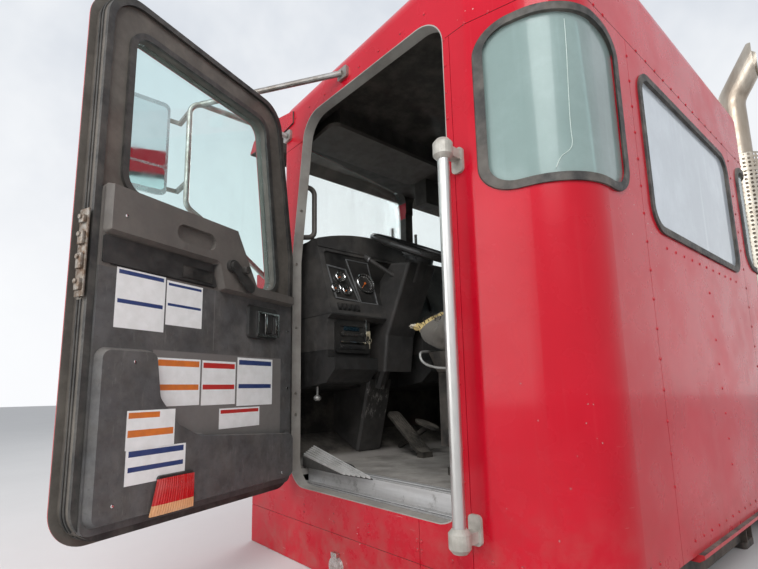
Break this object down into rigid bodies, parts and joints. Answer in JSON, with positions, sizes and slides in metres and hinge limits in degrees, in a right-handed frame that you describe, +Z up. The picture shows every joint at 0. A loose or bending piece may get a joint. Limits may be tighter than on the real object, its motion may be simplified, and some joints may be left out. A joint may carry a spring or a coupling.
{
  "type": "concrete mixer truck cab",
  "caption": "Two-seat day cab of a concrete mixer truck with wrap-round corner windows, grab handles, arm mirrors and its driver's door held open.",
  "frame": {"origin": "middle of the four cab mounts, on the underside of their feet", "axes": "+Z up, -Y forwards, +X towards the driver's (left) side"},
  "size_m": [3.3339, 1.623, 2.3837],
  "materials": {
    "paint": "gloss",
    "liner": "satin",
    "steel": "worn",
    "frame_paint": "satin",
    "glass": "clear",
    "gasket": "matte",
    "charcoal": "grained",
    "brown_trim": "grained",
    "aluminium": "ribbed",
    "casting": "worn",
    "mat": "dirty",
    "seat_cloth": "worn",
    "seat_frame": "satin",
    "chrome": "polished",
    "mirror_shell": "satin",
    "mirror": "mirror"
  },
  "bodies": {
    "cab": {"roof": "paint", "windshield_frame": "paint", "rear_wall": "paint", "quarter_panels": "paint", "side_panels": "paint", "cowl": "paint", "floor_pan": "steel", "mount_rails": "frame_paint", "windshield_glass": "glass", "rear_glass": "glass", "corner_glass": "glass", "window_gaskets": "gasket", "pillar_hinges": "paint", "grab_handles": "aluminium", "grab_castings": "casting", "sill_plates": "aluminium", "floor_mat": "mat", "dash": "charcoal", "steering_column": "charcoal", "seat_bases": "seat_frame", "seat_cushions": "seat_cloth", "seat_backs": "seat_cloth", "mirror_arms": "steel", "mirror_heads": "mirror_shell", "exterior_visor": "paint", "wipers": "frame_paint", "exhaust_stack": "chrome", "exhaust_shield": "chrome", "instrument_panel": "charcoal", "pedals": "frame_paint", "overhead_console": "liner", "sun_visors": "brown_trim", "pillar_handles": "charcoal", "door_jambs": "liner", "mirror_glass": "mirror", "skirt_cap": "chrome"},
    "door_left": {"door_shell_left": "paint", "door_glass_left": "glass", "door_trim_left": "charcoal", "door_fittings_left": "charcoal", "door_lock_left": "steel", "door_hinge_left": "paint", "door_seals_left": "gasket"},
    "door_right": {"door_shell_right": "paint", "door_glass_right": "glass", "door_trim_right": "charcoal", "door_fittings_right": "charcoal", "door_lock_right": "steel", "door_hinge_right": "paint", "door_seals_right": "gasket"},
    "steering_wheel": {"steering_wheel": "charcoal"},
    "glovebox": {"glovebox_lid": "charcoal"}
  },
  "joints": [
    {"name": "door_left_hinge", "type": "hinge", "parent": "cab", "child": "door_left", "pos_m": [0.975, -0.458, 0.74], "axis": [0, 0, -1], "range_deg": [-69, 6]},
    {"name": "door_right_hinge", "type": "hinge", "parent": "cab", "child": "door_right", "pos_m": [-0.975, -0.458, 0.74], "axis": [0, 0, 1], "range_deg": [0, 75]},
    {"name": "steering_turn", "type": "hinge", "parent": "cab", "child": "steering_wheel", "pos_m": [0.48, -0.16, 1.195], "axis": [0, 0.454, 0.891], "range_deg": [-720, 720]},
    {"name": "glovebox_hinge", "type": "hinge", "parent": "cab", "child": "glovebox", "pos_m": [-0.525, -0.302, 0.748], "axis": [-1, 0, 0], "range_deg": [0, 60]}
  ]
}
